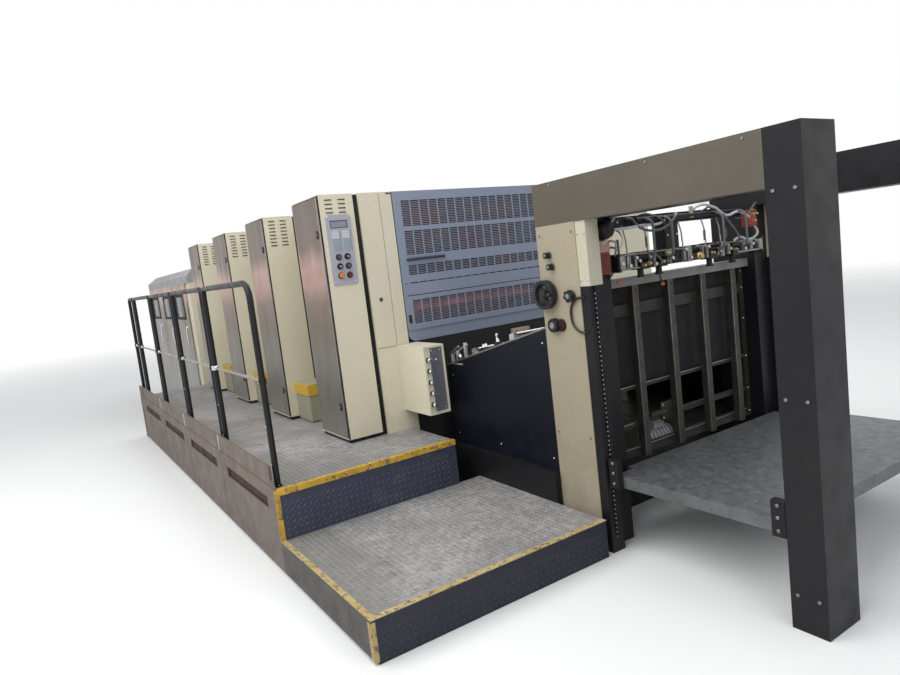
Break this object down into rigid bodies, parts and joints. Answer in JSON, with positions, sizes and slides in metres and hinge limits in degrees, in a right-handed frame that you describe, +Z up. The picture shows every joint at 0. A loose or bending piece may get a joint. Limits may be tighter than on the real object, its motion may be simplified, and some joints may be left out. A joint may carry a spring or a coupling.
{
  "type": "offset printing press",
  "caption": "Sheet-fed offset printing press: feeder with pile hoist, printing units in a row with slotted guards, raised operator gallery with handrail, and chain delivery.",
  "frame": {"origin": "on the floor, on the press's centre line, under the middle of the first printing unit", "axes": "+X along the press from the delivery towards the feeder, -Y to the operator's side, +Z up"},
  "size_m": [10.704, 3.877, 2.17],
  "materials": {
    "cream_paint": "satin",
    "stainless": "brushed",
    "slate_paint": "satin",
    "black_paint": "satin",
    "dark_panel": "gloss",
    "tread_plate": "worn",
    "yellow_paint": "worn",
    "skirt_paint": "satin",
    "chrome_knob": "polished",
    "roller_rubber": "satin",
    "bare_steel": "worn",
    "panel_plate": "matte",
    "tape_rubber": "matte",
    "wall_paint": "satin",
    "red_paint": "satin",
    "hose_rubber": "satin",
    "knob_plastic": "satin",
    "grey_paint": "satin"
  },
  "bodies": {
    "root": {"unit_1_housing": "grey_paint", "unit_1_guard": "slate_paint", "unit_1_column": "cream_paint", "unit_2_housing": "grey_paint", "unit_2_guard": "slate_paint", "unit_2_column": "cream_paint", "unit_3_housing": "grey_paint", "unit_3_guard": "slate_paint", "unit_3_column": "cream_paint", "unit_4_housing": "grey_paint", "unit_4_guard": "slate_paint", "unit_4_column": "cream_paint", "guard_slats": "slate_paint", "side_covers": "cream_paint", "drive_covers": "cream_paint", "ink_rollers": "roller_rubber", "footboards": "tread_plate", "column_gap_strips": "black_paint", "column_plinths": "black_paint", "control_panel": "panel_plate", "control_box": "cream_paint", "control_knobs": "chrome_knob", "gallery_deck": "tread_plate", "gallery_ribs": "black_paint", "gallery_risers": "tread_plate", "gallery_skirts": "skirt_paint", "edge_strips": "yellow_paint", "handrails": "black_paint", "handrail_rods": "chrome_knob", "alcove_steps": "cream_paint", "feed_base": "black_paint", "feed_side_panels": "dark_panel", "feed_rails": "bare_steel", "feed_board": "bare_steel", "feed_tapes": "tape_rubber", "hold_down_rods": "bare_steel", "feeder_columns": "cream_paint", "feeder_headers": "cream_paint", "feeder_frames": "black_paint", "feeder_posts": "black_paint", "hoist_chains": "bare_steel", "pile_front_wall": "wall_paint", "wall_panel": "dark_panel", "pile_guide_bars": "bare_steel", "hoist_motor": "grey_paint", "suction_head": "black_paint", "valve_block": "red_paint", "air_hoses": "hose_rubber", "feeder_knobs": "knob_plastic", "cable_loop": "knob_plastic", "delivery_frame": "cream_paint", "delivery_side_panels": "stainless", "delivery_hood": "grey_paint"},
    "door_1": {"unit_1_door": "stainless"},
    "door_2": {"unit_2_door": "stainless"},
    "door_3": {"unit_3_door": "stainless"},
    "door_4": {"unit_4_door": "stainless"},
    "pile_table": {"pile_table": "bare_steel", "pile_lugs": "black_paint"},
    "handwheel": {"feeder_handwheel": "knob_plastic"}
  },
  "joints": [
    {"name": "door_1_hinge", "type": "hinge", "parent": "root", "child": "door_1", "pos_m": [0.122, -1.57, 1.33], "axis": [0, 0, -1], "range_deg": [0, 110]},
    {"name": "door_2_hinge", "type": "hinge", "parent": "root", "child": "door_2", "pos_m": [-1.078, -1.57, 1.33], "axis": [0, 0, -1], "range_deg": [0, 110]},
    {"name": "door_3_hinge", "type": "hinge", "parent": "root", "child": "door_3", "pos_m": [-2.278, -1.57, 1.33], "axis": [0, 0, -1], "range_deg": [0, 110]},
    {"name": "door_4_hinge", "type": "hinge", "parent": "root", "child": "door_4", "pos_m": [-3.478, -1.57, 1.33], "axis": [0, 0, -1], "range_deg": [0, 110]},
    {"name": "pile_hoist", "type": "slide", "parent": "root", "child": "pile_table", "axis": [0, 0, 1], "range_m": [0, 0.9]},
    {"name": "handwheel_spin", "type": "hinge", "parent": "root", "child": "handwheel", "pos_m": [1.975, -0.91, 1.395], "axis": [0, -1, 0], "continuous": true}
  ]
}
